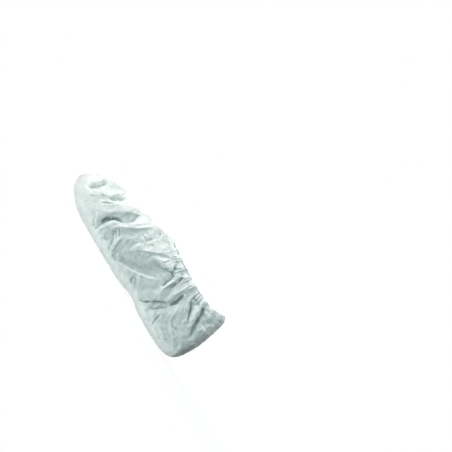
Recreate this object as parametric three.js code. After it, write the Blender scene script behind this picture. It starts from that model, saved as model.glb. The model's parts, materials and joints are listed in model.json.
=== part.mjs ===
// A disposable shoe cover in its worn form: two cloth side panels that meet at a middle seam over the
// instep, round the toe, under the sole and up the heel, with a gathered elastic hem round the opening.
// Millimetres, +Z up. The toe points to -Y and the heel to +Y. The origin is on the inside of the sole,
// under the middle of the opening.
import * as THREE from "three";

// Cloth and clearances
const WALL = 1.2;
const SEAM_GAP = 0.3;
const HEM_THICKNESS = 2.4;
const CLOTH_COLOUR = 0xe6eceb;
const CLOTH_ROUGHNESS = 0.8;

// Sole: the middle line runs between these two ends, flat under heel and ball, arched between them and
// sprung at the toe and a little at the back of the heel
const SOLE_BACK_Y = 48;
const SOLE_FRONT_Y = -177;
const HEEL_SPRING_START_Y = 22;
const HEEL_SPRING = 2.4;
const TOE_SPRING_START_Y = -136;
const TOE_SPRING = 4.4;
const ARCH_Y = -30;
const ARCH_HALF_LENGTH = 36;
const ARCH_RISE = 4.5;
const SOLE_PRESS = 1.6;

// Grid of one panel: columns from the heel seam to the toe seam, rows from the sole to the top edge
const COLUMNS = 62;
const HEM_COLUMNS = 38;
const ROWS = 18;
const ROW_BIAS = 0.72;
const ARC_STEPS = 24;

// Gathers below the hem, and puckers on it
const GATHERS_PER_SIDE = 11;
const GATHER_DEPTH = 1.3;
const GATHER_REACH = 14;
const HEM_SEGMENTS = 4 * HEM_COLUMNS;
const PUCKERS = 48;
const PUCKER_DEPTH = 0.6;
const PUCKER_RISE = 0.5;

// Folds die out towards the flat sole, and both sides share one height where they meet at the seam
const FOLD_FADE_LOW = 5;
const FOLD_FADE_HIGH = 18;
const FOLD_SHARE_WIDTH = 24;
const FOLD_STEPS = 10;
const FOLD_TAPER = 0.15;

// Widest line of the cover, a row for each section from heel to toe. half is the half width, z its height,
// edge the squareness of the sole edge below it and crown that of the cloth above it.
const OUTLINE = [
  { y: 90, half: 0, z: 46, edge: 3.4, crown: 1.35 },
  { y: 83.5, half: 26.5, z: 45, edge: 3.4, crown: 1.35 },
  { y: 64, half: 38, z: 44, edge: 3.4, crown: 1.4 },
  { y: 25, half: 43, z: 41, edge: 3.8, crown: 1.4 },
  { y: -40, half: 49, z: 38, edge: 4.0, crown: 1.5 },
  { y: -115, half: 59, z: 35, edge: 4.0, crown: 2.0 },
  { y: -170, half: 55, z: 32, edge: 3.2, crown: 1.8 },
  { y: -206, half: 36, z: 30, edge: 2.6, crown: 1.6 },
  { y: -222, half: 0, z: 30, edge: 1.8, crown: 1.5 },
];

// Rim of the opening, a row for each section from heel to instep. flare and drop lead from the rim out and
// down to the stitch line, where the hem meets the panels.
const RIM = [
  { y: 71, half: 0, z: 108.5, flare: 7, drop: 6 },
  { y: 62, half: 20, z: 103, flare: 6, drop: 7 },
  { y: 40, half: 32, z: 96.5, flare: 5, drop: 8 },
  { y: 4, half: 37, z: 94.2, flare: 4, drop: 8.5 },
  { y: -36, half: 33, z: 96.6, flare: 5, drop: 8 },
  { y: -60, half: 17, z: 99, flare: 7, drop: 6 },
  { y: -68, half: 0, z: 101, flare: 8, drop: 4.5 },
];

// Instep seam from the stitch line down to the top of the toe
const INSTEP = [
  { y: -76, z: 96.5 },
  { y: -105, z: 89.4 },
  { y: -130, z: 79.4 },
  { y: -152, z: 75.2 },
  { y: -170, z: 76.8 },
];

// Folds of the +X side, a row each, as seen from the side: [y, z] where the fold starts, bends and ends.
// width is half of its breadth. A ridge has a positive rise, a valley a negative one.
const LEFT_FOLDS = [
  { start: [-198, 33], bend: [-196, 47], end: [-192, 61], width: 7, rise: -3 },
  { start: [-185, 29], bend: [-177, 45], end: [-162, 77], width: 8, rise: 1.8 },
  { start: [-173, 35], bend: [-162, 54], end: [-149, 72], width: 7, rise: -2.2 },
  { start: [-138, 8], bend: [-146, 42], end: [-116, 75], width: 8, rise: -4 },
  { start: [-132, 12], bend: [-127, 42], end: [-96, 85], width: 8, rise: 2.4 },
  { start: [-115, 11], bend: [-113, 29], end: [-109, 47], width: 8, rise: -2 },
  { start: [-98, 9], bend: [-103, 27], end: [-110, 43], width: 6, rise: 1.5 },
  { start: [-83, 93], bend: [-82, 81], end: [-83, 67], width: 5, rise: -2 },
  { start: [-85, 33], bend: [-69, 59], end: [-23, 77], width: 9, rise: 1.8 },
  { start: [-85, 17], bend: [-53, 41], end: [-17, 69], width: 14, rise: -2.8 },
  { start: [-87, 9], bend: [-53, 25], end: [-27, 49], width: 8, rise: 1.4 },
  { start: [-33, 95], bend: [-27, 87], end: [-23, 79], width: 5, rise: -2.2 },
  { start: [-21, 77], bend: [-17, 65], end: [-14, 49], width: 5, rise: -2.2 },
  { start: [-16, 93], bend: [-6, 79], end: [-4, 57], width: 5, rise: -2.8 },
  { start: [-12, 83], bend: [-11, 69], end: [-10, 49], width: 5, rise: 1.8 },
  { start: [6, 89], bend: [7, 77], end: [8, 63], width: 7, rise: 1.8 },
  { start: [16, 73], bend: [17, 59], end: [17, 45], width: 6, rise: -3.6 },
  { start: [15, 45], bend: [2, 29], end: [-14, 11], width: 6, rise: -2 },
  { start: [19, 43], bend: [11, 27], end: [3, 15], width: 5, rise: -1.6 },
  { start: [27, 93], bend: [27, 79], end: [57, 56], width: 6, rise: -2.4 },
  { start: [37, 91], bend: [49, 71], end: [67, 49], width: 7, rise: 1.6 },
  { start: [46, 94], bend: [57, 75], end: [74, 45], width: 6, rise: -3 },
];

// Folds of the -X side
const RIGHT_FOLDS = [
  { start: [-203, 36], bend: [-197, 50], end: [-190, 62], width: 8, rise: -2.4 },
  { start: [-178, 26], bend: [-170, 50], end: [-160, 76], width: 9, rise: 1.8 },
  { start: [-166, 20], bend: [-158, 48], end: [-146, 75], width: 8, rise: -2.4 },
  { start: [-136, 8], bend: [-140, 46], end: [-122, 80], width: 9, rise: -4.5 },
  { start: [-122, 12], bend: [-122, 46], end: [-104, 85], width: 9, rise: 2.6 },
  { start: [-104, 14], bend: [-92, 44], end: [-58, 74], width: 10, rise: -2.8 },
  { start: [-90, 10], bend: [-66, 34], end: [-34, 60], width: 9, rise: 1.8 },
  { start: [-66, 10], bend: [-40, 34], end: [-14, 66], width: 9, rise: -2.6 },
  { start: [-44, 94], bend: [-38, 82], end: [-34, 66], width: 6, rise: -2.4 },
  { start: [-22, 92], bend: [-16, 78], end: [-12, 58], width: 6, rise: 1.8 },
  { start: [-6, 94], bend: [2, 76], end: [6, 50], width: 6, rise: -3.2 },
  { start: [6, 48], bend: [-4, 30], end: [-14, 14], width: 6, rise: -2 },
  { start: [18, 92], bend: [24, 76], end: [30, 56], width: 7, rise: 1.8 },
  { start: [32, 95], bend: [42, 76], end: [58, 52], width: 6, rise: -3 },
  { start: [50, 98], bend: [60, 80], end: [70, 60], width: 6, rise: -2.4 },
];

const { lerp, smoothstep } = THREE.MathUtils;

// A closed, mirror-symmetric curve through the rows of a table: heel, +X side, front, -X side
function mirroredCurve(rows) {
  const left = rows.map((row) => new THREE.Vector3(row.half, row.y, row.z));
  const right = left.slice(1, -1).reverse().map((point) => point.clone().setX(-point.x));
  return new THREE.CatmullRomCurve3([...left, ...right], true);
}

// The rim's rows moved out and down to the stitch line
function stitchLineRows(rows) {
  const middleY = (rows[0].y + rows.at(-1).y) / 2;
  return rows.map((row) => {
    const out = new THREE.Vector2(row.half, row.y - middleY).setLength(row.flare);
    return { y: row.y + out.y, half: row.half + out.x, z: row.z - row.drop };
  });
}

// A column of a table at a place along the cover, between its two nearest rows
function valueAt(rows, name, y) {
  const last = rows.length - 2;
  const index = Math.min(last, Math.max(0, rows.findIndex((row) => row.y < y) - 1));
  const before = rows[y <= rows.at(-1).y ? last : index];
  const after = rows[rows.indexOf(before) + 1];
  return lerp(before[name], after[name], (before.y - y) / (before.y - after.y));
}

const outline = mirroredCurve(OUTLINE);
const rim = mirroredCurve(RIM);
const stitchLine = mirroredCurve(stitchLineRows(RIM));
const instep = new THREE.CatmullRomCurve3(INSTEP.map((row) => new THREE.Vector3(0, row.y, row.z)));

// Place of the hem round the opening: the stitch line's point, the way up to the rim and the way outwards
function hemPlace(around) {
  const low = stitchLine.getPointAt(around);
  const rise = rim.getPointAt(around).sub(low);
  const outward = rise.clone().cross(stitchLine.getTangentAt(around)).normalize();
  return { low, rise, outward };
}

// Point of the sole's middle line under a column
function solePoint(along) {
  const y = lerp(SOLE_BACK_Y, SOLE_FRONT_Y, along);
  const toe = TOE_SPRING * smoothstep(-y, -TOE_SPRING_START_Y, -SOLE_FRONT_Y);
  const heel = HEEL_SPRING * smoothstep(y, HEEL_SPRING_START_Y, SOLE_BACK_Y);
  const arch = ARCH_RISE * smoothstep(ARCH_HALF_LENGTH - Math.abs(y - ARCH_Y), 0, ARCH_HALF_LENGTH);
  return new THREE.Vector3(0, y, toe + heel + arch - WALL);
}

// Point of the top edge over a column: on the stitch line round the opening, then on the instep seam
function topPoint(along) {
  const hemShare = HEM_COLUMNS / COLUMNS;
  if (along < hemShare) return stitchLine.getPointAt(along / hemShare / 2);
  return instep.getPointAt((along - hemShare) / (1 - hemShare));
}

// Points spaced along a line so that they crowd towards its far end
function crowdedPoints(line, count) {
  const lengths = [0];
  for (let i = 1; i < line.length; i++) lengths.push(lengths[i - 1] + line[i].distanceTo(line[i - 1]));
  const points = [line[0].clone()];
  for (let row = 1; row < count; row++) {
    const wanted = lengths.at(-1) * (row / count) ** ROW_BIAS;
    const next = lengths.findIndex((length) => length >= wanted);
    const share = (wanted - lengths[next - 1]) / (lengths[next] - lengths[next - 1]);
    points.push(line[next - 1].clone().lerp(line[next], share));
  }
  points.push(line.at(-1).clone());
  return points;
}

// One column of the smooth form: along the sole, round its edge to the widest line, then up to the top edge
function formColumn(along) {
  const sole = solePoint(along);
  const widest = outline.getPointAt(along / 2);
  const top = topPoint(along);
  const edge = 2 / valueAt(OUTLINE, "edge", widest.y);
  const crown = 2 / valueAt(OUTLINE, "crown", widest.y);
  const line = [];
  for (let step = 0; step <= ARC_STEPS; step++) {
    const turn = (step / ARC_STEPS) * (Math.PI / 2);
    const point = sole.clone().lerp(widest, Math.sin(turn) ** edge);
    const height = widest.z - (widest.z - sole.z + SOLE_PRESS) * Math.cos(turn) ** edge;
    line.push(point.setZ(Math.max(sole.z, height)));
  }
  for (let step = 1; step <= ARC_STEPS; step++) {
    const turn = (step / ARC_STEPS) * (Math.PI / 2);
    const point = widest.clone().lerp(top, 1 - Math.cos(turn) ** crown);
    line.push(point.setZ(lerp(widest.z, top.z, Math.sin(turn) ** crown)));
  }
  return crowdedPoints(line, ROWS);
}

// Fold lines as chains of short straight runs in the side view
function foldPaths(folds) {
  return folds.map((fold) => {
    const [start, bend, end] = [fold.start, fold.bend, fold.end].map(([y, z]) => new THREE.Vector3(0, y, z));
    const points = new THREE.QuadraticBezierCurve3(start, bend, end).getPoints(FOLD_STEPS);
    const runs = points.slice(1).map((point, step) => new THREE.Line3(points[step], point));
    return { ...fold, runs };
  });
}

const FOLD_PATHS = { left: foldPaths(LEFT_FOLDS), right: foldPaths(RIGHT_FOLDS) };

// Rise of one fold at a point of the side view: full on its line, nothing at its breadth, less at its ends
function foldRise(fold, point) {
  const onLine = new THREE.Vector3();
  let nearest = Infinity;
  let place = 0;
  fold.runs.forEach((run, step) => {
    const share = run.closestPointToPointParameter(point, true);
    const distance = run.at(share, onLine).distanceTo(point);
    if (distance < nearest) {
      nearest = distance;
      place = (step + share) / FOLD_STEPS;
    }
  });
  const across = Math.max(0, 1 - nearest / fold.width);
  const taper = Math.sin(Math.PI * lerp(FOLD_TAPER, 1 - FOLD_TAPER, place));
  return fold.rise * taper * smoothstep(across, 0, 1);
}

// Rise of all folds at a point of the form, shared by both sides at the seam and none on the sole
function foldsAt(point, side) {
  const place = new THREE.Vector3(0, point.y, point.z);
  const sum = (name) => FOLD_PATHS[name].reduce((total, fold) => total + foldRise(fold, place), 0);
  const left = sum("left");
  const right = sum("right");
  const own = side > 0 ? left : right;
  const apart = smoothstep(Math.abs(point.x), 0, FOLD_SHARE_WIDTH);
  return lerp((left + right) / 2, own, apart) * smoothstep(point.z, FOLD_FADE_LOW, FOLD_FADE_HIGH);
}

// Gathers that run down from the hem, dying out below it
function gatherAt(column, below) {
  if (column > HEM_COLUMNS) return 0;
  const wave = Math.cos((column / HEM_COLUMNS) * GATHERS_PER_SIDE * 2 * Math.PI);
  return GATHER_DEPTH * wave * Math.exp(-below / GATHER_REACH);
}

// Outward normals of a grid of points. The top edge takes the hem's, and points on the middle seam keep
// theirs in the seam's plane.
function gridNormals(points, columns, rows) {
  const geometry = new THREE.BufferGeometry().setFromPoints(points.flat());
  const index = [];
  const at = (column, row) => column * (rows + 1) + row;
  for (let column = 0; column < columns; column++) {
    for (let row = 0; row < rows; row++) {
      const [a, b] = [at(column, row), at(column, row + 1)];
      const [c, d] = [at(column + 1, row + 1), at(column + 1, row)];
      index.push(a, b, c, a, c, d);
    }
  }
  geometry.setIndex(index);
  geometry.computeVertexNormals();
  const normal = geometry.getAttribute("normal");
  return points.map((line, column) => line.map((point, row) => {
    if (row === rows && column <= HEM_COLUMNS) return hemPlace(column / HEM_COLUMNS / 2).outward;
    const outward = new THREE.Vector3().fromBufferAttribute(normal, at(column, row));
    const onSeam = column === 0 || column === columns || row === 0 || row === rows;
    if (onSeam) outward.setX(0);
    return outward.normalize();
  }));
}

// A closed wall between an outer and an inner grid of points
function wallGeometry(outer, inner, columns, rows, mirror) {
  const points = [...outer.flat(), ...inner.flat()];
  const innerStart = outer.flat().length;
  const at = (column, row) => column * (rows + 1) + row;
  const index = [];
  const quad = (...corners) => {
    const [a, b, c, d] = mirror ? corners.reverse() : corners;
    const acrossAC = points[a].distanceTo(points[c]) <= points[b].distanceTo(points[d]);
    index.push(...(acrossAC ? [a, b, c, a, c, d] : [b, c, d, b, d, a]));
  };
  for (let column = 0; column < columns; column++) {
    for (let row = 0; row < rows; row++) {
      const corners = [at(column, row), at(column, row + 1), at(column + 1, row + 1), at(column + 1, row)];
      quad(...corners);
      quad(...corners.map((corner) => corner + innerStart).reverse());
    }
  }
  const border = [];
  for (let column = 0; column < columns; column++) border.push(at(column, 0));
  for (let row = 0; row < rows; row++) border.push(at(columns, row));
  for (let column = columns; column > 0; column--) border.push(at(column, rows));
  for (let row = rows; row > 0; row--) border.push(at(0, row));
  border.forEach((corner, step) => {
    const next = border[(step + 1) % border.length];
    quad(corner, next, next + innerStart, corner + innerStart);
  });
  if (mirror) points.forEach((point) => point.setX(-point.x));
  return new THREE.BufferGeometry().setFromPoints(points).setIndex(index);
}

// A point kept on its own side of the middle seam
function clearOfSeam(point) {
  return point.setX(Math.max(point.x, SEAM_GAP / 2));
}

// One side panel: the smooth form with its folds and gathers, given its wall inwards
function panelGeometry(side) {
  const form = [];
  for (let column = 0; column <= COLUMNS; column++) form.push(formColumn(column / COLUMNS));
  const formNormals = gridNormals(form, COLUMNS, ROWS);
  const outer = form.map((line, column) => line.map((point, row) => {
    const below = point.distanceTo(line[ROWS]);
    const rise = foldsAt(point, side) + gatherAt(column, below);
    const moved = point.clone().addScaledVector(formNormals[column][row], rise);
    return clearOfSeam(moved.setX(moved.x + SEAM_GAP / 2));
  }));
  const normals = gridNormals(outer, COLUMNS, ROWS);
  const inner = outer.map((line, column) => line.map((point, row) =>
    clearOfSeam(point.clone().addScaledVector(normals[column][row], -WALL))));
  return wallGeometry(outer, inner, COLUMNS, ROWS, side < 0);
}

// Section of the hem, as shares of its height and of its thickness, round from the outside to the inside
const HEM_SECTION = [
  { up: 0, out: 0.5 },
  { up: 0.45, out: 0.6 },
  { up: 0.9, out: 0.42 },
  { up: 1, out: 0 },
  { up: 0.9, out: -0.42 },
  { up: 0.45, out: -0.55 },
  { up: 0, out: -0.5 },
];

// The gathered hem: a closed ring from just above the stitch line up to the rim
function hemGeometry() {
  const points = [];
  const index = [];
  const sides = HEM_SECTION.length;
  for (let segment = 0; segment < HEM_SEGMENTS; segment++) {
    const around = segment / HEM_SEGMENTS;
    const { low, rise, outward } = hemPlace(around);
    const side = low.x >= 0 ? 1 : -1;
    const gather = gatherAt((side > 0 ? around : 1 - around) * 2 * HEM_COLUMNS, 0);
    const pucker = Math.cos(around * PUCKERS * 2 * Math.PI);
    const middle = low.clone().addScaledVector(outward, foldsAt(low, side) + gather - WALL / 2);
    middle.addScaledVector(rise, SEAM_GAP / rise.length());
    for (const corner of HEM_SECTION) {
      const out = corner.out * HEM_THICKNESS + pucker * PUCKER_DEPTH * Math.sin(Math.PI * corner.up);
      const up = corner.up * (1 + (PUCKER_RISE * pucker) / rise.length());
      points.push(middle.clone().addScaledVector(rise, up).addScaledVector(outward, out));
    }
    const next = (segment + 1) % HEM_SEGMENTS;
    for (let corner = 0; corner < sides; corner++) {
      const beside = (corner + 1) % sides;
      const [a, b] = [segment * sides + corner, segment * sides + beside];
      const [c, d] = [next * sides + beside, next * sides + corner];
      index.push(a, b, c, a, c, d);
    }
  }
  return new THREE.BufferGeometry().setFromPoints(points).setIndex(index);
}

function clothPiece(name, geometry) {
  const material = new THREE.MeshStandardMaterial({
    color: CLOTH_COLOUR,
    roughness: CLOTH_ROUGHNESS,
    metalness: 0,
  });
  const mesh = new THREE.Mesh(geometry, material);
  mesh.name = name;
  return mesh;
}

const shoeCover = new THREE.Group();
shoeCover.add(clothPiece("left_panel", panelGeometry(1)));
shoeCover.add(clothPiece("right_panel", panelGeometry(-1)));
shoeCover.add(clothPiece("elastic_hem", hemGeometry()));

export default shoeCover;
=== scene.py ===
import json
import math

import bpy
import numpy as np
from mathutils import Matrix, Vector, kdtree, noise

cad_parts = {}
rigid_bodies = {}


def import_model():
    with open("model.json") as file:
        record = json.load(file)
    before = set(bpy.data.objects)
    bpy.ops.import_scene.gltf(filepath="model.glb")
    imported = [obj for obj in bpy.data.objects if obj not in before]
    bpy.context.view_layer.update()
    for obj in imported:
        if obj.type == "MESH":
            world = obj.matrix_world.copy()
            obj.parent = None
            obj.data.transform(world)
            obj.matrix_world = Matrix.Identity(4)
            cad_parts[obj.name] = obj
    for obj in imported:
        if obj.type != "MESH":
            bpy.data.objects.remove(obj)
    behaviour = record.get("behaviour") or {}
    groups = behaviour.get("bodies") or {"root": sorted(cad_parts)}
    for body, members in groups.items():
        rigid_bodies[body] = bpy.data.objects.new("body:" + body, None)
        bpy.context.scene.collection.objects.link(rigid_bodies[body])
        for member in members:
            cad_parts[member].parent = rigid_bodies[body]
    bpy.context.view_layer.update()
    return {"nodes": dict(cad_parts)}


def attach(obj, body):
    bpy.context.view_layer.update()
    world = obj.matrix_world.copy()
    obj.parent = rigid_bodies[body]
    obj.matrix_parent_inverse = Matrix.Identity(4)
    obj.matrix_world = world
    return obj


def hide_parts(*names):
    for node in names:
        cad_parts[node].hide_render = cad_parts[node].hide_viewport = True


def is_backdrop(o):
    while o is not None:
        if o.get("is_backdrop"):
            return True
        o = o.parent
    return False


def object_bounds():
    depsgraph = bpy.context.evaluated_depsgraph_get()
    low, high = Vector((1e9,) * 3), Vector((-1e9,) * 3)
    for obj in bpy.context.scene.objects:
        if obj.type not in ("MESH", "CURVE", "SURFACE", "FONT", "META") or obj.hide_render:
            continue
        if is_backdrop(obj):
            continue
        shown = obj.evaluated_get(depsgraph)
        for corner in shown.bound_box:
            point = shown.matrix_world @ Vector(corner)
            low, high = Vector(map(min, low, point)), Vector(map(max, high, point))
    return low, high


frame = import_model()

MM = 0.001

# Photograph: the cover lies turned in the frame
PHOTO_PIXELS = 452
PIXEL = 1.5 * MM
FRAME_WIDTH = PHOTO_PIXELS * PIXEL
CAMERA_AIM = Vector((0, -0.0446, 0.1793))
CAMERA_DISTANCE = 6
CAMERA_SWING = math.radians(4)
CAMERA_ROLL = math.radians(59.3)
CAMERA_BACK = Vector((math.cos(CAMERA_SWING), math.sin(CAMERA_SWING), 0))
CAMERA_PLACE = CAMERA_AIM + CAMERA_DISTANCE * CAMERA_BACK
SENSOR_WIDTH_MM = 36

# Studio: soft lights round the cover, most of the light from the toe, from above and from below, a little
# warmer from the toe and cooler from the heel. Places in metres, power in watts.
LIGHT_AIM = Vector((0, -0.06, 0.05))
LIGHTS = [
    {"name": "key", "place": (0.18, -1.12, 1.23), "size": 0.6, "power": 14.7, "colour": "#fff8f8"},
    {"name": "toe", "place": (0.53, -1.56, 0.2), "size": 0.6, "power": 7.5, "colour": "#fff6f6"},
    {"name": "low", "place": (0.5, -0.25, -1.4), "size": 0.6, "power": 16, "colour": "#f8ffff"},
    {"name": "side", "place": (1.33, -0.46, -0.75), "size": 0.6, "power": 2, "colour": "#fff2f0"},
    {"name": "heel", "place": (1.45, -0.2, 0.6), "size": 0.6, "power": 5, "colour": "#ccffff"},
    {"name": "top", "place": (0.41, 0.12, 1.5), "size": 0.6, "power": 9, "colour": "#ffffff"},
    {"name": "far_side", "place": (-1.4, -0.2, 0.5), "size": 0.8, "power": 11, "colour": "#ffffff"},
    {"name": "back", "place": (-1.35, 0.7, 0.35), "size": 0.6, "power": 2.4, "colour": "#eaffff"},
]
SURROUND_COLOUR = "#f0ffff"
SURROUND_STRENGTH = 0.1
FLOOR_RADIUS = 0.6
FLOOR_GAP = 0.2 * MM

# Cloth
CLOTH_THICKNESS = 0.35 * MM

# Solids: points closer than the merge distance are one, a wall's edge faces are narrower than the edge limit,
# and border points closer to the middle plane than the seam limit are on the seam
MERGE_DISTANCE = 0.01 * MM
WALL_EDGE_LIMIT = 1.35 * MM
SEAM_LIMIT = 0.3 * MM

# Papery surface: crinkles pressed to facets, and fine wrinkles. They die out towards the panel's edges and,
# with the folds, towards the sole. The wrinkles' noise has a roughness, a step between its octaves, their
# number, an offset and a gain.
SOLE_HEIGHT = 5 * MM
SOLE_FADE = (1 * MM, 12 * MM)
EDGE_FADE = 8 * MM
CRINKLE_HEIGHT = 1.6 * MM
CRINKLE_SPACING = 14 * MM
CRINKLE_OCTAVES = 3
CRINKLE_MEAN = 0.5
FACET_SHARE = 0.012
FACET_STRENGTH = 0.8
WRINKLE_HEIGHT = 0.4 * MM
WRINKLE_SPACING = 9 * MM
WRINKLE_NOISE = (1, 2, 3, 1, 2)

# Cloth simulation, run on a copy ten times as large, where its settings behave as on a garment
SIM_SCALE = 10
SIM_FRAMES = 24
SIM_SPARE_CLOTH = 0.015
SIM_MOVE_CAP = 2.5 * MM

# A crease fades towards its ends, between these shares of its length counted from the end, and narrows there
# towards its end reach, a share of its full one. It fades towards the seam too. Its front is the side that
# this way, (y, z), points to: toe and top.
CREASE_FADE = (-0.1, 0.22)
CREASE_END_REACH = 0.5
CREASE_POWER = 1.2
CREASE_FRONT = (-0.86, 0.51)
SEAM_FADE = 12 * MM

# The mesh is finest along the crests of narrow creases, whose slopes reach less than this, in millimetres
NARROW_CREASE = 6
CREST_REACH = 1.4

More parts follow.
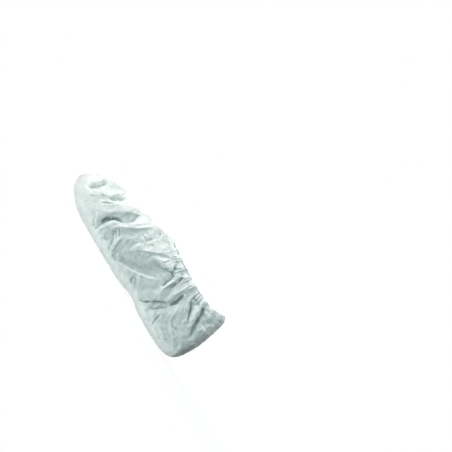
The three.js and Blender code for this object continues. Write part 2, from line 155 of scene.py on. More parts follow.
# Creases seen from the side, in millimetres on the cover's middle plane: the (y, z) points of a line, the
# rise of its crest, which is negative in a valley, and how far its slopes reach, front towards toe and top,
# back towards heel and sole. Heights are counted from PHOTO_FLOOR below the middle plane's zero.
PHOTO_FLOOR = 1.8
LEFT_CREASES = [
    # Toe
    {"line": [(-202, 33), (-199, 41), (-196, 49), (-194.5, 56), (-196, 64)],
     "rise": -6.8, "front": 4.8, "back": 5},
    {"line": [(-191, 46), (-189, 56), (-185, 66)], "rise": 2.0, "front": 2, "back": 15},
    {"line": [(-179, 50), (-174, 62), (-170, 76)], "rise": -4.0, "front": 14, "back": 2.5},
    {"line": [(-189, 28), (-183, 39)], "rise": -1.8, "front": 1.6, "back": 3},
    {"line": [(-186, 44), (-178, 50), (-170, 55)], "rise": 1.0, "front": 4, "back": 5},
    {"line": [(-170, 51), (-165, 59), (-160, 67), (-155, 74)], "rise": -5.0, "front": 3.2, "back": 4.5},
    {"line": [(-173, 55), (-169, 65), (-164, 76)], "rise": 1.8, "front": 2.5, "back": 3},
    {"line": [(-171, 39), (-166, 46), (-160, 54)], "rise": -3.8, "front": 1.8, "back": 2.6},
    {"line": [(-166, 44), (-160, 52), (-155, 58)], "rise": 0.8, "front": 2, "back": 3},
    {"line": [(-163, 62), (-152, 66), (-142, 70)], "rise": 0.8, "front": 3, "back": 3},
    {"line": [(-171, 77), (-167.5, 71)], "rise": -2.6, "front": 1.8, "back": 1.8},
    {"line": [(-177, 38), (-165, 29), (-155, 20), (-147, 13)], "rise": 0.8, "front": 2, "back": 4},
    {"line": [(-210, 16), (-200, 11), (-190, 8), (-178, 6.5)], "rise": -1.8, "front": 1.8, "back": 1.8},
    {"line": [(-159, 23), (-151, 15), (-144, 9)], "rise": -1.3, "front": 4, "back": 2.4},
    # Ball
    {"line": [(-153, 12), (-154, 30), (-150, 46)], "rise": 1.2, "front": 8, "back": 5},
    {"line": [(-144.5, 20), (-145.5, 29), (-143.5, 37), (-140, 44), (-135, 48.5), (-130, 53), (-125.5, 59)],
     "rise": -7.2, "front": 2.6, "back": 3.2},
    {"line": [(-142, 41), (-138, 46), (-133, 50), (-128, 55), (-124, 62)],
     "rise": -3.2, "front": 2.4, "back": 2},
    {"line": [(-146, 18), (-146, 29), (-141, 44), (-135, 49)], "rise": -1.5, "front": 12, "back": 3},
    {"line": [(-139.5, 8), (-142, 14), (-144, 21), (-145.5, 29)], "rise": -2.2, "front": 2.2, "back": 1.6},
    {"line": [(-131, 53), (-126, 61), (-124, 68), (-124, 76), (-126, 86)],
     "rise": -9.5, "front": 15, "back": 3.5},
    {"line": [(-138, 24), (-136, 34), (-134, 43)], "rise": 1.6, "front": 3, "back": 5},
    {"line": [(-130, 32), (-126, 42), (-120, 50), (-113, 60), (-108, 68), (-103, 78), (-100, 86)],
     "rise": 1.8, "front": 4, "back": 4},
    {"line": [(-122, 14), (-117, 24), (-113, 36)], "rise": -1.4, "front": 5, "back": 5},
    {"line": [(-124, 42), (-112, 35.5)], "rise": -1.8, "front": 1.3, "back": 1.3},
    {"line": [(-127, 38), (-115, 31)], "rise": -1.8, "front": 1.3, "back": 1.3},
    {"line": [(-127, 34), (-112, 24)], "rise": -1.8, "front": 1.3, "back": 1.3},
    {"line": [(-118, 27), (-109, 19)], "rise": -1.8, "front": 1.3, "back": 1.3},
    {"line": [(-113, 24), (-104, 11)], "rise": -1.8, "front": 1.3, "back": 1.3},
    {"line": [(-99, 9), (-103, 20), (-108, 30), (-113, 42)], "rise": 0.8, "front": 2.2, "back": 3},
    {"line": [(-95, 9), (-98, 22), (-102, 36), (-106, 47)], "rise": 1.8, "front": 9, "back": 6},
    # Instep
    {"line": [(-88, 92), (-84, 90), (-82, 86), (-84, 80), (-85, 74), (-85.5, 67)],
     "rise": -4.0, "front": 1.8, "back": 2.2},
    {"line": [(-100, 67), (-93, 67), (-87, 67.5)], "rise": -1.0, "front": 1.5, "back": 2.5},
    {"line": [(-112, 76), (-106, 88)], "rise": 0.8, "front": 2, "back": 2},
    {"line": [(-79.5, 91.5), (-75, 97)], "rise": -2.4, "front": 1.6, "back": 2},
    {"line": [(-88, 66), (-82, 66)], "rise": -1.2, "front": 1.3, "back": 1.3},
    # Middle
    {"line": [(-52, 92), (-57, 80), (-63, 70), (-72, 60), (-81, 49), (-84, 40)],
     "rise": 2.2, "front": 11, "back": 3},
    {"line": [(-43, 93), (-47, 84), (-53, 74)], "rise": -1.6, "front": 4, "back": 6},
    {"line": [(-90, 13), (-80, 17), (-70, 22), (-60, 28.5), (-50, 35.5), (-40, 43.5), (-32, 51)],
     "rise": -2.6, "front": 14, "back": 4},
    {"line": [(-88, 9), (-80, 12.5), (-70, 17.5), (-60, 23.5), (-50, 30.5), (-42, 37)],
     "rise": 1.4, "front": 4.5, "back": 5},
    {"line": [(-19, 76), (-23, 75), (-29, 74), (-36, 71)], "rise": -4.5, "front": 2.2, "back": 2.6},
    {"line": [(-26, 74.5), (-36, 70), (-45, 66), (-59, 61)], "rise": -2.4, "front": 2.4, "back": 9},
    {"line": [(-87, 42), (-86, 52), (-82, 60)], "rise": 0.9, "front": 6, "back": 6},
    {"line": [(-48, 25), (-38, 19.5)], "rise": -2.0, "front": 1.3, "back": 1.3},
    {"line": [(-52, 22.5), (-42, 16.5)], "rise": -2.0, "front": 1.3, "back": 1.3},
    {"line": [(-50, 18.5), (-42, 13.5)], "rise": -2.0, "front": 1.3, "back": 1.3},
    # Below the hem
    {"line": [(-41, 103), (-37, 96), (-33, 89), (-29, 84), (-26, 79), (-22, 74)],
     "rise": -6.0, "front": 2.6, "back": 1.8},
    {"line": [(-27, 78), (-21, 79)], "rise": -3.0, "front": 1.6, "back": 1.6},
    {"line": [(-20, 76), (-18.5, 66), (-17, 58), (-16, 51)], "rise": -5.0, "front": 3.2, "back": 1.8},
    {"line": [(-23, 102), (-18, 94), (-14, 88), (-11, 84), (-9, 78), (-8, 72)],
     "rise": -6.5, "front": 2.6, "back": 1.8},
    {"line": [(-8, 73), (-7, 64), (-7, 52)], "rise": -4.5, "front": 3, "back": 1.8},
    {"line": [(-15, 84), (-13, 72), (-12.5, 54)], "rise": 1.6, "front": 2.5, "back": 2.5},
    {"line": [(-2, 93), (-1, 82), (0, 70)], "rise": 1.2, "front": 4, "back": 4},
    {"line": [(-44, 92), (-42, 84), (-44, 74)], "rise": -1.6, "front": 2.4, "back": 3},
    {"line": [(-52, 95), (-49, 88)], "rise": -1.6, "front": 1.8, "back": 2},
    {"line": [(12.5, 74), (14.5, 66), (16, 60), (15, 54), (14.5, 46)],
     "rise": -8.0, "front": 3.6, "back": 2.8},
    {"line": [(17, 77), (19, 70), (21, 60)], "rise": 1.4, "front": 2, "back": 2.6},
    {"line": [(19, 74), (18.5, 68)], "rise": -2.0, "front": 1.4, "back": 1.4},
    {"line": [(12, 48), (7, 42), (3, 37), (0, 32), (-4, 26), (-9, 18), (-15, 12.5)],
     "rise": -4.5, "front": 2.6, "back": 1.5},
    {"line": [(16, 45), (12, 37), (10, 32), (8, 26), (4, 21)], "rise": -4.0, "front": 2.4, "back": 1.5},
    {"line": [(14, 46), (9, 38), (4, 30)], "rise": 0.8, "front": 1.5, "back": 1.5},
    {"line": [(21.5, 102), (22.5, 95), (24, 88), (25, 80)], "rise": -5.0, "front": 2.2, "back": 1.6},
    {"line": [(28, 95), (28, 88), (27, 82)], "rise": -3.0, "front": 1.4, "back": 1.6},
    {"line": [(25, 80), (31, 76), (36, 72), (41, 67), (46, 62), (53, 56)],
     "rise": -5.0, "front": 2.4, "back": 1.6},
    {"line": [(31, 86), (37, 85), (43, 82)], "rise": -1.4, "front": 3, "back": 3},
    # Heel
    {"line": [(38, 103), (41, 97), (45, 90), (49, 82.5), (54, 75), (58, 68), (63, 60.5), (67, 55), (72, 46)],
     "rise": -7.0, "front": 2.3, "back": 3},
    {"line": [(43, 87), (47, 80), (52, 72.5), (57, 64), (61, 57)], "rise": 1.4, "front": 10, "back": 1.6},
    {"line": [(47, 95), (52, 85), (60, 72), (68, 60)], "rise": 1.2, "front": 1.6, "back": 13},
    {"line": [(22, 62), (28, 50), (34, 38), (48, 30.5), (66, 24)], "rise": 0.8, "front": 3, "back": 3},
    {"line": [(42, 34), (49, 37), (57, 40)], "rise": -1.5, "front": 5, "back": 4.5},
    {"line": [(19.5, 29), (22, 21), (24, 15), (27, 9)], "rise": -3.2, "front": 2, "back": 2},
    {"line": [(79, 84), (81, 50), (80, 10)], "rise": 4.0, "front": 24, "back": 6},
    {"line": [(70, 86), (75, 66)], "rise": 0.8, "front": 2, "back": 3},
    {"line": [(72, 104), (78, 92)], "rise": -1.0, "front": 2, "back": 2},
]
RIGHT_CREASES = [
    # Toe
    {"line": [(-203, 38), (-197, 50), (-191, 61)], "rise": -4.4, "front": 4.5, "back": 6},
    {"line": [(-186, 30), (-178, 44), (-172, 60)], "rise": 1.0, "front": 4, "back": 4},
    {"line": [(-167, 22), (-158, 46), (-148, 72)], "rise": -3.4, "front": 3, "back": 5},
    {"line": [(-192, 20), (-180, 12)], "rise": -1.0, "front": 3, "back": 3},
    {"line": [(-181, 40), (-174, 51)], "rise": -2.0, "front": 1.7, "back": 2.6},
    # Ball
    {"line": [(-135, 12), (-139, 30), (-137, 46), (-128, 62)], "rise": -7.5, "front": 5, "back": 2.4},
    {"line": [(-130, 56), (-124, 66), (-119, 78)], "rise": -3.6, "front": 11, "back": 3},
    {"line": [(-128, 18), (-124, 42), (-110, 72)], "rise": 1.8, "front": 4, "back": 6},
    {"line": [(-152, 16), (-148, 34)], "rise": -1.6, "front": 1.6, "back": 2.4},
    {"line": [(-114, 14), (-106, 30)], "rise": -1.8, "front": 1.6, "back": 2.4},
    # Instep and middle
    {"line": [(-100, 20), (-88, 44), (-60, 70)], "rise": -2.2, "front": 12, "back": 4},
    {"line": [(-86, 12), (-64, 34), (-40, 54)], "rise": 1.2, "front": 3, "back": 3},
    {"line": [(-96, 86), (-90, 74), (-92, 62)], "rise": -3.6, "front": 1.8, "back": 2.2},
    {"line": [(-62, 14), (-40, 34), (-18, 58)], "rise": -3.0, "front": 1.8, "back": 2.4},
    {"line": [(-48, 10), (-30, 22)], "rise": 0.8, "front": 2.5, "back": 3},
    {"line": [(-72, 58), (-56, 66), (-40, 68)], "rise": -2.6, "front": 1.8, "back": 3},
    # Below the hem
    {"line": [(-46, 93), (-39, 82), (-34, 66)], "rise": -5.0, "front": 3.4, "back": 1.8},
    {"line": [(-30, 92), (-26, 80), (-25, 64)], "rise": 1.2, "front": 3, "back": 3},
    {"line": [(-22, 93), (-17, 80), (-14, 62)], "rise": -4.2, "front": 3.2, "back": 1.8},
    {"line": [(-6, 94), (1, 76), (5, 54)], "rise": -6.5, "front": 4.5, "back": 2},
    {"line": [(6, 50), (-4, 30), (-13, 14)], "rise": -3.6, "front": 2.4, "back": 1.5},
    {"line": [(9, 50), (4, 34), (2, 22)], "rise": -2.6, "front": 1.6, "back": 1.8},
    {"line": [(18, 90), (24, 76), (30, 56)], "rise": 1.2, "front": 3, "back": 3},
    # Heel
    {"line": [(31, 95), (41, 78), (57, 54)], "rise": -5.6, "front": 4.2, "back": 1.8},
    {"line": [(50, 97), (59, 82), (69, 62)], "rise": -4.6, "front": 3.6, "back": 1.8},
    {"line": [(24, 46), (38, 32), (62, 22)], "rise": 0.8, "front": 3, "back": 3},
    {"line": [(78, 84), (80, 50), (79, 10)], "rise": 2.4, "front": 24, "back": 9},
]

# Gathers at the opening, an ellipse seen from above. Waves round it make their pitch and their depth uneven.
OPENING_CENTRE_Y = 1.5 * MM
OPENING_HALF_WIDTH = 37 * MM
OPENING_HALF_LENGTH = 69.5 * MM
OPENING_STEPS = 720
PUCKERS = 92
PUCKER_DEPTH = 1.2 * MM
PUCKER_REACH = 9 * MM
PUCKER_POWER = 1.3
PUCKER_PITCH_WAVES = [
    {"count": 7, "size": 0.35, "start": 1},
    {"count": 13, "size": 0.25, "start": 2},
    {"count": 29, "size": 0.15, "start": 0},
]
PUCKER_MEAN_DEPTH = 0.75
PUCKER_DEPTH_WAVES = [
    {"count": 5, "size": 0.25, "start": 2.2},
    {"count": 17, "size": 0.2, "start": 0},
]

# Hem: its outer face lies flush on the panels and laps over their top edge. It holds the cloth in line there
# and leaves a share of each fold. The two faces close in towards the rim, which has the shallowest gathers.
# Steps and the lap are shares of the way round and of the hem's height.
HEM_COLUMNS = 304
HEM_RUN_STEP = 0.003
HEM_OUTER_BAND = 1.2 * MM
HEM_CLEARANCE = 0.12 * MM
HEM_SWELL = 0.35 * MM
HEM_RIM_TURN = 0.7 * MM
HEM_INSIDE = 1.6 * MM
HEM_LAP = 0.12
HEM_RIM_HOLD = 0.85
HEM_HOLD = 4.5 * MM
HEM_FOLD_SHARE = 0.3

# Painted shade of the folds: the cloth's colour greys in creases, most in the narrow ones, and in gathers.
# A painted shadow greys it just below the hem, and painted shade greys the hem low down and in its gathers
FULL_FOLD_DEPTH = 8 * MM
PAINTED_FOLD_SHADE = 0.5
PAINTED_PUCKER_SHADE = 0.65
PAINTED_SHADE_POWER = 1.6
HEM_PAINTED_SHADOW_REACH = 2.5 * MM
HEM_PAINTED_SHADOW = 0.12
HEM_PAINTED_LOW_SHADE = 0.1
HEM_PAINTED_PUCKER_SHADE = 0.6

# Middle seam: a shallow groove, drawn in by its stitches
SEAM_SINK = 0.8 * MM
SEAM_SCALLOP = 0.2
SEAM_REACH = 2.5 * MM
SEAM_HALF_GAP = 0.03 * MM
SEAM_STITCH_PITCH = 6 * MM
SEAM_CENTRE = Vector((0, -70 * MM, 35 * MM))
SEAM_STITCH_LOW = 10 * MM

# Stitches: short bars of thread, along the hem's lower edge and across the middle seam
STITCH_LENGTH = 2.6 * MM
STITCH_RADIUS = 0.26 * MM
STITCH_ENDS_SINK = 0.35 * MM
HEM_STITCHES = 96
HEM_STITCH_UP = 1.3 * MM
HEM_STITCH_OUT = 2 * MM
HEM_STITCH_RUN = 0.002


def only(piece):
    """Selects one object alone and makes it the active one."""
    bpy.ops.object.select_all(action="DESELECT")
    piece.select_set(True)
    bpy.context.view_layer.objects.active = piece


def points_of(piece):
    points = np.empty(len(piece.data.vertices) * 3)
    piece.data.vertices.foreach_get("co", points)
    return points.reshape(-1, 3)


def normals_of(piece):
    normals = np.empty(len(piece.data.vertices) * 3)
    piece.data.vertices.foreach_get("normal", normals)
    return normals.reshape(-1, 3)


def set_points(piece, points):
    piece.data.vertices.foreach_set("co", points.ravel())
    piece.data.update()


def push(piece, rise):
    """Moves each point along its normal."""
    set_points(piece, points_of(piece) + normals_of(piece) * rise[:, None])


def smoothstep(value, low, high):
    share = np.clip((value - low) / (high - low), 0, 1)
    return share * share * (3 - 2 * share)


def apply_modifier(piece, modifier):
    only(piece)
    bpy.ops.object.modifier_apply(modifier=modifier.name)


def double_of(piece, name):
    double = piece.copy()
    double.data = piece.data.copy()
    double.name = name
    bpy.context.scene.collection.objects.link(double)
    return double


# Pieces cut from the frame

def copy_of_node(node, name):
    """A new object with a merged copy of a node's mesh."""
    piece = bpy.data.objects.new(name, frame["nodes"][node].data.copy())
    piece.data.materials.clear()
    bpy.context.scene.collection.objects.link(piece)
    only(piece)
    bpy.ops.object.mode_set(mode="EDIT")
    bpy.ops.mesh.select_all(action="SELECT")
    bpy.ops.mesh.remove_doubles(threshold=MERGE_DISTANCE)
    bpy.ops.object.mode_set(mode="OBJECT")
    return piece


def select_faces(piece, wanted):
    """Selects the faces that a list of true and false names, and enters edit mode."""
    only(piece)
    bpy.ops.object.mode_set(mode="EDIT")
    bpy.ops.mesh.select_mode(type="FACE")
    bpy.ops.mesh.select_all(action="DESELECT")
    bpy.ops.object.mode_set(mode="OBJECT")
    piece.data.polygons.foreach_set("select", wanted)
    bpy.ops.object.mode_set(mode="EDIT")


def keep_outer_face(piece, side):
    """Leaves the outside of a panel as one sheet of quads: the narrow faces of its edges go first."""
    points = points_of(piece)
    corners = np.array([polygon.vertices[:] for polygon in piece.data.polygons])
    edges = points[corners] - points[np.roll(corners, 1, axis=1)]
    shortest = np.linalg.norm(edges, axis=2).min(axis=1)
    select_faces(piece, shortest < WALL_EDGE_LIMIT)
    bpy.ops.mesh.delete(type="FACE")
    bpy.ops.object.mode_set(mode="OBJECT")
    reach = np.array([polygon.center.x for polygon in piece.data.polygons]) * side
    select_faces(piece, reach == reach.max())
    bpy.ops.mesh.select_linked()
    bpy.ops.mesh.select_all(action="INVERT")
    bpy.ops.mesh.delete(type="FACE")
    bpy.ops.object.mode_set(mode="OBJECT")


def join_quads(piece):
    only(piece)
    bpy.ops.object.mode_set(mode="EDIT")
    bpy.ops.mesh.select_all(action="SELECT")
    bpy.ops.mesh.tris_convert_to_quads(face_threshold=math.pi, shape_threshold=math.pi)
    bpy.ops.object.mode_set(mode="OBJECT")


def divide(piece, cuts, wanted):
    """Cuts each wanted face into smaller ones that follow the sheet's curve."""
    select_faces(piece, wanted)
    bpy.ops.mesh.subdivide(number_cuts=cuts, smoothness=1)
    bpy.ops.object.mode_set(mode="OBJECT")


def face_centres(piece):
    centres = np.empty(len(piece.data.polygons) * 3)
    piece.data.polygons.foreach_get("center", centres)
    return centres.reshape(-1, 3)


def refine(piece, levels):
    subdivision = piece.modifiers.new("refine", "SUBSURF")
    subdivision.levels = levels
    subdivision.render_levels = levels
    subdivision.boundary_smooth = "PRESERVE_CORNERS"
    apply_modifier(piece, subdivision)


def thicken(piece):
    solidify = piece.modifiers.new("thickness", "SOLIDIFY")
    solidify.thickness = CLOTH_THICKNESS
    solidify.offset = -1
    apply_modifier(piece, solidify)


def border_of(piece):
    """True for each point on the sheet's border."""
    counts = {}
    for polygon in piece.data.polygons:
        for edge in polygon.edge_keys:
            counts[edge] = counts.get(edge, 0) + 1
    border = np.zeros(len(piece.data.vertices), bool)
    border[[point for edge, count in counts.items() if count == 1 for point in edge]] = True
    return border


def distance_to(points, targets):
    """How far each point is from the nearest of the targets."""
    tree = kdtree.KDTree(len(targets))
    for index, target in enumerate(targets):
        tree.insert(target, index)
    tree.balance()
    return np.array([tree.find(point)[2] for point in points])


# Folds and gathers

def simulate(piece):
    """Lets the sheet buckle as cloth with a little more length than the form, held at its border and sole."""
    start = points_of(piece)
    model = double_of(piece, "cloth_model")
    set_points(model, start * SIM_SCALE)
    held = model.vertex_groups.new(name="held")
    fixed = border_of(piece) | (start[:, 2] < SOLE_HEIGHT)
    held.add(np.flatnonzero(fixed).tolist(), 1.0, "REPLACE")
    cloth = model.modifiers.new("cloth", "CLOTH")
    cloth.settings.quality = 6
    cloth.settings.mass = 0.3
    cloth.settings.tension_stiffness = 40
    cloth.settings.compression_stiffness = 40
    cloth.settings.shear_stiffness = 15
    cloth.settings.bending_stiffness = 0.8
    cloth.settings.air_damping = 2
    cloth.settings.shrink_min = -SIM_SPARE_CLOTH
    cloth.settings.vertex_group_mass = "held"
    cloth.settings.effector_weights.gravity = 0
    cloth.collision_settings.use_collision = False
    cloth.point_cache.frame_end = SIM_FRAMES
    for step in range(1, SIM_FRAMES + 1):
        bpy.context.scene.frame_set(step)
    apply_modifier(model, cloth)
    moved = points_of(model) / SIM_SCALE - start
    bpy.context.scene.frame_set(1)
    bpy.data.objects.remove(model)
    length = np.linalg.norm(moved, axis=1, keepdims=True)
    capped = moved * np.minimum(1, SIM_MOVE_CAP / np.maximum(length, 1e-9))
    set_points(piece, start + capped)


def seen_from_side(points, side):
    """[y, z] of each point in millimetres, moved along the camera's line of sight to the middle plane."""
    eye = np.array(CAMERA_PLACE) * (side, 1, 1)
    share = eye[0] / (eye[0] - points[:, :1])
    return (eye[1:] + (points[:, 1:] - eye[1:]) * share) / MM + (0, PHOTO_FLOOR)


def beside_line(place, line):
    """For each place of the side view: how far it is from a line, whether it is in front of the line, and how
    full the line is there, from a little at its ends to 1."""
    line = np.array(line, float)
    steps = np.diff(line, axis=0)
    lengths = np.linalg.norm(steps, axis=1)
    before = np.concatenate(([0], np.cumsum(lengths)[:-1]))
    nearest = np.full(len(place), np.inf)
    along = np.zeros(len(place))
    in_front = np.zeros(len(place), bool)
    for start, step, length, passed in zip(line, steps, lengths, before):
        share = np.clip((place - start) @ step / length ** 2, 0, 1)
        distance = np.linalg.norm(place - start - share[:, None] * step, axis=1)
        across = np.array((-step[1], step[0]))
        across *= np.sign(across @ CREASE_FRONT)
        closer = distance < nearest
        along = np.where(closer, passed + share * length, along)
        in_front = np.where(closer, (place - start) @ across > 0, in_front)
        nearest = np.minimum(distance, nearest)
    from_end = np.minimum(along, lengths.sum() - along) / lengths.sum()
    return nearest, in_front, smoothstep(from_end, *CREASE_FADE)


def crease_rise(place, creases):
    """Sum of the creases at each place of the side view. A crease has a sharp crest, and narrows and fades
    towards its ends."""
    total = np.zeros(len(place))
    for crease in creases:
        nearest, in_front, fullness = beside_line(place, crease["line"])
        full_reach = np.where(in_front, crease["front"], crease["back"])
        reach = full_reach * (CREASE_END_REACH + (1 - CREASE_END_REACH) * fullness)
        slope = np.clip(1 - nearest / reach, 0, 1) ** CREASE_POWER
        total += crease["rise"] * MM * slope * fullness
    return total


def narrow(creases):
    return [crease for crease in creases if max(crease["front"], crease["back"]) < NARROW_CREASE]


def near_crease(place, creases):
    """True for each place of the side view that is close to the crest of one of the creases."""
    near = np.zeros(len(place), bool)
    for crease in creases:
        near |= beside_line(place, crease["line"])[0] < CREST_REACH
    return near


def around_opening(points):
    """Place of each point round the opening by length, from 0 at the heel to 1."""
    turn = np.linspace(0, 2 * math.pi, OPENING_STEPS + 1)
    pace = np.hypot(OPENING_HALF_WIDTH * np.cos(turn), OPENING_HALF_LENGTH * np.sin(turn))
    passed = np.concatenate(([0], np.cumsum((pace[1:] + pace[:-1]) / 2)))
    across = points[:, 0] / OPENING_HALF_WIDTH
    back = (points[:, 1] - OPENING_CENTRE_Y) / OPENING_HALF_LENGTH
    return np.interp(np.arctan2(across, back) % (2 * math.pi), turn, passed / passed[-1])


def waves(around, rows):
    """Sum of the waves of a table at each place round the opening."""
    turn = around * 2 * math.pi
    return sum(row["size"] * np.sin(row["count"] * turn + row["start"]) for row in rows)


def pucker(points):
    """Depth of the hem's fine gathers: sharp valleys of uneven pitch and depth."""
    around = around_opening(points)
    valley = 1 - np.abs(np.sin(math.pi * (PUCKERS * around + waves(around, PUCKER_PITCH_WAVES))))
    strength = PUCKER_MEAN_DEPTH + waves(around, PUCKER_DEPTH_WAVES)
    return -PUCKER_DEPTH * strength * valley ** PUCKER_POWER


def facet(piece, keep):
    """Presses the sheet towards flat facets with crisp edges, as papery cloth creases."""
    plates = double_of(piece, "plates")
    decimate = plates.modifiers.new("plates", "DECIMATE")
    decimate.ratio = FACET_SHARE
    apply_modifier(plates, decimate)
    start = points_of(piece)
    wrap = piece.modifiers.new("facets", "SHRINKWRAP")
    wrap.target = plates
    wrap.wrap_method = "NEAREST_SURFACEPOINT"
    apply_modifier(piece, wrap)
    bpy.data.objects.remove(plates)
    pressed = points_of(piece) - start
    set_points(piece, start + pressed * (FACET_STRENGTH * keep)[:, None])


def crinkle(points):
    """Small uneven rises and dents of the cloth that the facets form on."""
    rise = [noise.turbulence(Vector(point) / CRINKLE_SPACING, CRINKLE_OCTAVES, True) for point in points]
    return np.array(rise) - CRINKLE_MEAN


def wrinkle(points):
    """Fine creases of handled cloth, sharp along their crests."""
    sharp = [noise.ridged_multi_fractal(Vector(point) / WRINKLE_SPACING, *WRINKLE_NOISE) for point in points]
    return np.array(sharp) - np.mean(sharp)


def keep_painted_crease_shade(piece, depth):
    """Stores the painted shade of each point, from 0 to 1, which greys the cloth's colour."""
    stored = piece.data.attributes.new("painted_crease_shade", "FLOAT", "POINT")
    stored.data.foreach_set("value", np.clip(depth, 0, 1))


def hem_edge_of(piece):
    """True for each point of a panel's top edge, where the hem is sewn on."""
    return border_of(piece) & (np.abs(points_of(piece)[:, 0]) > SEAM_LIMIT)


def panel_sheet(node, side, creases):
    """A panel's outer face as a sheet, buckled as cloth and cut finest along its narrow creases."""
    piece = copy_of_node(node, node + "_cloth")
    keep_outer_face(piece, side)
    join_quads(piece)
    divide(piece, 2, np.full(len(piece.data.polygons), True))
    simulate(piece)
    divide(piece, 1, face_centres(piece)[:, 2] > SOLE_HEIGHT)
    divide(piece, 1, near_crease(seen_from_side(face_centres(piece), side), narrow(creases)))
    return piece


def painted_shade_of_folds(creased, sharp, puckered, below_hem):
    """How much painted shade greys each point, from 0 to 1: in creases and gathers, and as a painted shadow
    just below the hem.
    """
    # Painted shadow of the hem's lower edge, greying the panel just below it
    hem_shadow = HEM_PAINTED_SHADOW * np.exp(-below_hem / HEM_PAINTED_SHADOW_REACH)
    in_fold = PAINTED_FOLD_SHADE * (sharp + creased) / FULL_FOLD_DEPTH
    deep = in_fold + PAINTED_PUCKER_SHADE * puckered / PUCKER_DEPTH - hem_shadow
    return np.clip(-deep, 0, 1) ** PAINTED_SHADE_POWER


def seam_groove(points, from_seam):
    """Depth of the groove along the middle seam, which changes from stitch to stitch."""
    beat = np.cos(2 * math.pi * (points[:, 1] + points[:, 2]) / SEAM_STITCH_PITCH)
    return -SEAM_SINK * (1 - SEAM_SCALLOP + SEAM_SCALLOP * beat) * np.exp(-from_seam / SEAM_REACH)


def panel(node, side, creases):
    """One side of the cover, with the points of its top edge and of its seam."""
    piece = panel_sheet(node, side, creases)
    points = points_of(piece)
    hem_edge = hem_edge_of(piece)
    seam = border_of(piece) & ~hem_edge
    from_seam = distance_to(points, points[seam])
    below_hem = distance_to(points, points[hem_edge])
    above_sole = smoothstep(points[:, 2], *SOLE_FADE)
    inside = above_sole * smoothstep(np.minimum(from_seam, below_hem), 0, EDGE_FADE)
    push(piece, CRINKLE_HEIGHT * crinkle(points) * inside)
    facet(piece, inside)
    place = seen_from_side(points, side)
    left_by_hem = HEM_FOLD_SHARE + (1 - HEM_FOLD_SHARE) * smoothstep(below_hem, 0, HEM_HOLD)
    free = above_sole * smoothstep(from_seam, 0, SEAM_FADE) * left_by_hem
    creased = crease_rise(place, creases) * free
    sharp = crease_rise(place, narrow(creases)) * free
    puckered = pucker(points) * np.exp(-below_hem / PUCKER_REACH)
    # Painted shade: the colour greys in creases and gathers, and a painted shadow greys it just below the hem
    keep_painted_crease_shade(piece, painted_shade_of_folds(creased, sharp, puckered, below_hem))
    push(piece, creased)
    push(piece, puckered)
    push(piece, WRINKLE_HEIGHT * wrinkle(points) * inside)
    push(piece, seam_groove(points, from_seam) * above_sole)
    points = points_of(piece)
    points[seam, 0] = side * SEAM_HALF_GAP
    set_points(piece, points)
    thicken(piece)
    only(piece)
    bpy.ops.object.shade_smooth()
    return piece, points[hem_edge], points[seam]


def ring_through(points, around):
    """The points of a ring at the given places round the opening."""
    own = around_opening(points)
    order = np.argsort(own)
    axes = [np.interp(around, own[order], points[order, axis], period=1) for axis in range(3)]
    return np.column_stack(axes)


def ring_run(points, around, step):
    """The way a ring runs at the given places round the opening."""
    return ring_through(points, around + step) - ring_through(points, around - step)


def rim_of(points, around):
    """The highest point in each column of the hem."""
    column = np.floor(around * HEM_COLUMNS).astype(int)
    members = [np.flatnonzero(column == number) for number in range(HEM_COLUMNS)]
    return points[[own[np.argmax(points[own, 2])] for own in members]]


def dot(first, second):
    return np.einsum("ij,ij->i", first, second)


def hem_section(points, top_edge):
    """The panels' top edge under each point of the hem, and the ways from there to the rim and outwards."""
    around = around_opening(points)
    low = ring_through(top_edge, around)
    rise = ring_through(rim_of(points, around), around) - low
    outward = np.cross(rise, ring_run(top_edge, around, HEM_RUN_STEP))
    outward /= np.linalg.norm(outward, axis=1, keepdims=True)
    from_middle = points - (0, OPENING_CENTRE_Y, 0)
    outward *= np.sign(dot(outward[:, :2], from_middle[:, :2]))[:, None]
    return low, rise, outward


def hem(top_edge):
    """The gathered casing, from its lap over the panels' top edge up to the rim and down inside."""
    piece = copy_of_node("elastic_hem", "elastic_hem_cloth")
    join_quads(piece)
    refine(piece, 2)
    points = points_of(piece)
    low, rise, outward = hem_section(points, top_edge)
    up = dot(points - low, rise) / np.linalg.norm(rise, axis=1) ** 2
    share = np.clip(up, 0, 1)
    outer = smoothstep(dot(points - low, outward), -HEM_OUTER_BAND, 0)
    turned = HEM_RIM_TURN * share ** 3
    outer_face = HEM_SWELL * np.sin(math.pi * share) + HEM_CLEARANCE - turned
    shaped = outer * outer_face - (1 - outer) * (HEM_INSIDE - turned)
    lapped = up - HEM_LAP * (1 - share) ** 2 * outer
    gathered = pucker(points) * (1 - HEM_RIM_HOLD * share ** 2)
    # Painted shade: the hem's colour greys towards its lower edge and in its gathers
    keep_painted_crease_shade(piece, HEM_PAINTED_LOW_SHADE * (1 - share) ** 2 - HEM_PAINTED_PUCKER_SHADE * gathered / PUCKER_DEPTH)
    set_points(piece, low + rise * lapped[:, None] + outward * (shaped + gathered)[:, None])
    only(piece)
    bpy.ops.object.shade_smooth()
    return piece


# Stitches

def one_stitch():
    """A short bar of thread along X, thick in the middle, with its ends drawn down into the cloth."""
    bpy.ops.object.select_all(action="DESELECT")
    bpy.ops.mesh.primitive_uv_sphere_add(segments=8, ring_count=6, radius=STITCH_RADIUS)
    piece = bpy.context.object
    bpy.ops.object.mode_set(mode="EDIT")
    bpy.ops.mesh.select_all(action="SELECT")
    bpy.ops.transform.rotate(value=math.pi / 2, orient_axis="Y", center_override=(0, 0, 0))
    stretch = STITCH_LENGTH / (2 * STITCH_RADIUS)
    bpy.ops.transform.resize(value=(stretch, 1, 1), center_override=(0, 0, 0))
    bpy.ops.object.mode_set(mode="OBJECT")
    bpy.ops.object.shade_smooth()
    points = points_of(piece)
    points[:, 2] -= STITCH_ENDS_SINK * (2 * points[:, 0] / STITCH_LENGTH) ** 2
    set_points(piece, points)
    return piece


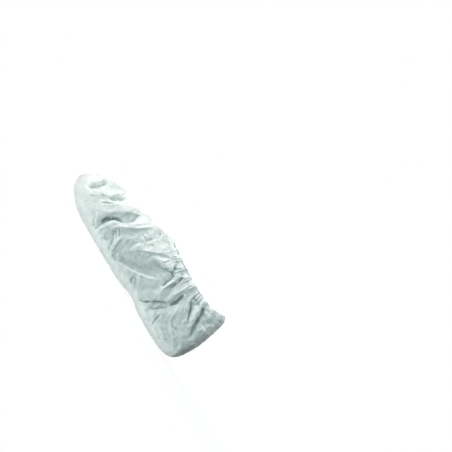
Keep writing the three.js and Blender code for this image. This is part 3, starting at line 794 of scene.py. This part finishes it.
def stitch_row(name, places):
    """Copies of one stitch as one piece. A place is a stitch's middle, its run and the way it faces."""
    first = one_stitch()
    row = []
    for middle, run, out in places:
        stitch = double_of(first, name)
        across = out.cross(run).normalized()
        turn = Matrix((across.cross(out), across, out)).transposed().to_4x4()
        stitch.data.transform(Matrix.Translation(middle) @ turn)
        row.append(stitch)
    bpy.data.objects.remove(first)
    only(row[0])
    for stitch in row:
        stitch.select_set(True)
    bpy.ops.object.join()
    row[0].name = name
    return row[0]


def hem_stitch_places(band, top_edge):
    """On the hem's outer face, just above its lower edge."""
    around = (np.arange(HEM_STITCHES) + 0.5) / HEM_STITCHES
    line = ring_through(top_edge, around)
    runs = ring_run(top_edge, around, HEM_STITCH_RUN)
    for point, run in zip(line, runs):
        out = Vector((point[0], point[1] - OPENING_CENTRE_Y, 0)).normalized()
        near = Vector(point) + out * HEM_STITCH_OUT + Vector((0, 0, HEM_STITCH_UP))
        _, middle, facing, _ = band.closest_point_on_mesh(near)
        yield middle + facing * STITCH_RADIUS / 2, Vector(run), facing


def seam_stitch_places(seam):
    """Across the middle seam, from the hem over the instep to the toe and from the hem down the heel."""
    line = np.column_stack((np.zeros(len(seam)), seam[:, 1:]))
    line = line[line[:, 2] > SEAM_STITCH_LOW]
    from_centre = line - np.array(SEAM_CENTRE)
    line = line[np.argsort(np.arctan2(from_centre[:, 2], from_centre[:, 1]))]
    steps = np.linalg.norm(np.diff(line, axis=0), axis=1)
    count = np.floor(np.concatenate(([0], np.cumsum(steps))) / SEAM_STITCH_PITCH)
    for index in np.flatnonzero(np.diff(count)):
        run = Vector(line[index + 1] - line[index - 1])
        out = run.cross(Vector((1, 0, 0))).normalized()
        middle = Vector(line[index])
        if out.dot(middle - SEAM_CENTRE) < 0:
            out.negate()
        yield middle + out * STITCH_RADIUS, Vector((1, 0, 0)), out


# Materials

def linear(hex_colour):
    """An sRGB hex value as linear RGBA."""
    channels = [int(hex_colour[i:i + 2], 16) / 255 for i in (1, 3, 5)]
    return [c / 12.92 if c <= 0.04045 else ((c + 0.055) / 1.055) ** 2.4 for c in channels] + [1]


def add_node(tree, kind, inputs, **settings):
    """Adds a node with its settings. An input is a value, or another node's output to link."""
    made = tree.nodes.new(kind)
    for name, value in settings.items():
        setattr(made, name, value)
    for name, value in inputs.items():
        if isinstance(value, bpy.types.NodeSocket):
            tree.links.new(value, made.inputs[name])
        else:
            made.inputs[name].default_value = value
    return made


def fibre_tint_and_painted_shade(tree, place, thin, thick):
    """Clouds of thicker and thinner fibre, some 22 mm across, greyed by painted shade in folds and below the
    hem.
    """
    clouds = add_node(tree, "ShaderNodeTexNoise", {"Vector": place, "Scale": 1 / (22 * MM), "Detail": 3})
    tint = add_node(tree, "ShaderNodeValToRGB", {"Fac": clouds.outputs["Fac"]})
    tint.color_ramp.elements[0].position = 0.3
    tint.color_ramp.elements[0].color = linear(thin)
    tint.color_ramp.elements[1].position = 0.7
    tint.color_ramp.elements[1].color = linear(thick)
    # Painted shade: the stored shade mixes the colour towards this grey in folds, gathers and below the hem
    depth = add_node(tree, "ShaderNodeAttribute", {}, attribute_name="painted_crease_shade")
    painted_shade = add_node(tree, "ShaderNodeMix", {"Factor": depth.outputs["Fac"]}, data_type="RGBA")
    tree.links.new(tint.outputs["Color"], painted_shade.inputs["A"])
    painted_shade.inputs["B"].default_value = linear("#9cabaa")
    return painted_shade.outputs["Result"]


def web_and_crinkles(tree, place, crepe_up):
    """A web of filaments, which are a tenth of a millimetre wide and are drawn 2 mm wide, so that they show,
    and crinkles, 7 mm apart."""
    drawn = add_node(tree, "ShaderNodeMapping", {"Vector": place, "Scale": (1, 1, 1 / crepe_up)})
    web = add_node(tree, "ShaderNodeTexNoise",
                   {"Vector": drawn.outputs["Vector"], "Scale": 1 / (2 * MM), "Detail": 3, "Distortion": 1.2})
    web_bump = add_node(tree, "ShaderNodeBump",
                        {"Height": web.outputs["Fac"], "Strength": 1, "Distance": 0.4 * MM})
    bend = add_node(tree, "ShaderNodeTexNoise", {"Vector": place, "Scale": 1 / (15 * MM), "Detail": 2})
    bent = add_node(tree, "ShaderNodeVectorMath",
                    {0: bend.outputs["Color"], 1: [12 * MM] * 3, 2: place}, operation="MULTIPLY_ADD")
    cells = add_node(tree, "ShaderNodeTexVoronoi", {"Vector": bent.outputs["Vector"], "Scale": 1 / (7 * MM)})
    bump = add_node(tree, "ShaderNodeBump", {"Height": cells.outputs["Distance"], "Strength": 0.7,
                                             "Distance": 1 * MM, "Normal": web_bump.outputs["Normal"]})
    return bump.outputs["Normal"]


def nonwoven(name, thin, thick, crepe_up):
    """Flash-spun polyethylene, calendered to a papery white cloth: cloudy from uneven fibre, with a web of
    filaments and small crinkles that catch the light, a faint sheen, and painted shade that greys it in
    folds.
    Gathered on elastic, it is whiter, and its filaments draw out upwards to fine crepe."""
    material = bpy.data.materials.new(name)
    material.use_nodes = True
    tree = material.node_tree
    shader = tree.nodes["Principled BSDF"]
    place = add_node(tree, "ShaderNodeTexCoord", {}).outputs["Object"]
    tree.links.new(fibre_tint_and_painted_shade(tree, place, thin, thick), shader.inputs["Base Color"])
    tree.links.new(web_and_crinkles(tree, place, crepe_up), shader.inputs["Normal"])
    shader.inputs["Roughness"].default_value = 0.55
    shader.inputs["IOR"].default_value = 1.5
    shader.inputs["Sheen Weight"].default_value = 0.15
    return material


def spun_thread():
    """Spun polyester sewing thread: clean white, matt and a little hairy."""
    material = bpy.data.materials.new("spun_polyester_thread")
    material.use_nodes = True
    tree = material.node_tree
    shader = tree.nodes["Principled BSDF"]
    place = add_node(tree, "ShaderNodeTexCoord", {}).outputs["Object"]
    # Fibres, drawn 0.4 mm apart so that they show
    fibres = add_node(tree, "ShaderNodeTexNoise", {"Vector": place, "Scale": 1 / (0.4 * MM), "Detail": 2})
    tint = add_node(tree, "ShaderNodeValToRGB", {"Fac": fibres.outputs["Fac"]})
    tint.color_ramp.elements[0].color = linear("#dfe6e4")
    tint.color_ramp.elements[1].color = linear("#f6f9f8")
    tree.links.new(tint.outputs["Color"], shader.inputs["Base Color"])
    bump = add_node(tree, "ShaderNodeBump", {"Height": fibres.outputs["Fac"], "Distance": 0.1 * MM})
    tree.links.new(bump.outputs["Normal"], shader.inputs["Normal"])
    shader.inputs["Roughness"].default_value = 0.65
    shader.inputs["Sheen Weight"].default_value = 0.3
    return material


def light_table():
    """Pale frosted glass, lit from below until it is nearly as white as the surround."""
    material = bpy.data.materials.new("frosted_glass")
    material.use_nodes = True
    tree = material.node_tree
    lit = add_node(tree, "ShaderNodeEmission", {"Strength": 1.02})
    frosted = add_node(tree, "ShaderNodeBsdfDiffuse", {"Color": linear("#eef3f2")})
    ray = add_node(tree, "ShaderNodeLightPath", {})
    seen = add_node(tree, "ShaderNodeMath", {0: ray.outputs["Is Camera Ray"], 1: 0.85}, operation="MULTIPLY")
    mix = add_node(tree, "ShaderNodeMixShader", {"Fac": seen.outputs["Value"]})
    tree.links.new(frosted.outputs["BSDF"], mix.inputs[1])
    tree.links.new(lit.outputs["Emission"], mix.inputs[2])
    tree.links.new(mix.outputs["Shader"], tree.nodes["Material Output"].inputs["Surface"])
    return material


# Stage

def camera():
    data = bpy.data.cameras.new("camera")
    data.sensor_width = SENSOR_WIDTH_MM
    data.lens = SENSOR_WIDTH_MM * CAMERA_DISTANCE / FRAME_WIDTH
    piece = bpy.data.objects.new("camera", data)
    bpy.context.scene.collection.objects.link(piece)
    level = Vector((0, 0, 1)).cross(CAMERA_BACK)
    up = CAMERA_BACK.cross(level)
    right = math.cos(CAMERA_ROLL) * level + math.sin(CAMERA_ROLL) * up
    top = math.cos(CAMERA_ROLL) * up - math.sin(CAMERA_ROLL) * level
    turn = Matrix((right, top, CAMERA_BACK)).transposed().to_4x4()
    piece.matrix_world = Matrix.Translation(CAMERA_PLACE) @ turn
    bpy.context.scene.camera = piece


def surround():
    """White to the eye, and cooler and dimmer as light."""
    world = bpy.data.worlds.new("studio")
    bpy.context.scene.world = world
    world.use_nodes = True
    tree = world.node_tree
    white = (1, 1, 1, 1)
    seen = add_node(tree, "ShaderNodeBackground", {"Color": white, "Strength": 1})
    fill = add_node(tree, "ShaderNodeBackground",
                    {"Color": linear(SURROUND_COLOUR), "Strength": SURROUND_STRENGTH})
    ray = add_node(tree, "ShaderNodeLightPath", {})
    mix = add_node(tree, "ShaderNodeMixShader", {"Fac": ray.outputs["Is Camera Ray"]})
    tree.links.new(fill.outputs["Background"], mix.inputs[1])
    tree.links.new(seen.outputs["Background"], mix.inputs[2])
    tree.links.new(mix.outputs["Shader"], tree.nodes["World Output"].inputs["Surface"])


def area_light(name, place, size, power, colour):
    data = bpy.data.lights.new(name, "AREA")
    data.shape = "DISK"
    data.size = size
    data.energy = power
    data.color = linear(colour)[:3]
    piece = bpy.data.objects.new(name, data)
    bpy.context.scene.collection.objects.link(piece)
    piece.location = place
    piece.rotation_euler = (LIGHT_AIM - Vector(place)).to_track_quat("-Z", "Y").to_euler()


def floor(height):
    """A pale round table that lets the light from below through and throws none back."""
    bpy.ops.object.select_all(action="DESELECT")
    bpy.ops.mesh.primitive_circle_add(vertices=96, radius=FLOOR_RADIUS, fill_type="NGON",
                                      location=(0, LIGHT_AIM.y, height))
    piece = bpy.context.object
    piece.name = "floor"
    piece.visible_shadow = False
    piece.visible_diffuse = False
    piece.data.materials.append(light_table())
    piece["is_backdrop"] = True


bpy.context.scene.view_settings.view_transform = "Standard"
camera()
surround()
for light in LIGHTS:
    area_light(**light)

cloth = nonwoven("flash_spun_nonwoven", thin="#dde3e0", thick="#ebf1ee", crepe_up=1)
gathered_cloth = nonwoven("gathered_nonwoven", thin="#e2e9e7", thick="#f0f4f3", crepe_up=5)
thread = spun_thread()

left_sheet, left_top, left_seam = panel("left_panel", 1, LEFT_CREASES)
right_sheet, right_top, _ = panel("right_panel", -1, RIGHT_CREASES)
for sheet, node in ((left_sheet, "left_panel"), (right_sheet, "right_panel")):
    sheet.data.materials.append(cloth)
    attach(sheet, "root")
    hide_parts(node)

top_edge = np.concatenate((left_top, right_top))
band = hem(top_edge)
band.data.materials.append(gathered_cloth)
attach(band, "root")
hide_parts("elastic_hem")

hem_row = stitch_row("hem_stitches", hem_stitch_places(band, top_edge))
seam_row = stitch_row("seam_stitches", seam_stitch_places(left_seam))
for row, slot in ((hem_row, "hem"), (seam_row, "cloth")):
    row.data.materials.clear()
    row.data.materials.append(thread)
    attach(row, "root")

visual_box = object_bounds()
floor(visual_box[0][2] - FLOOR_GAP)
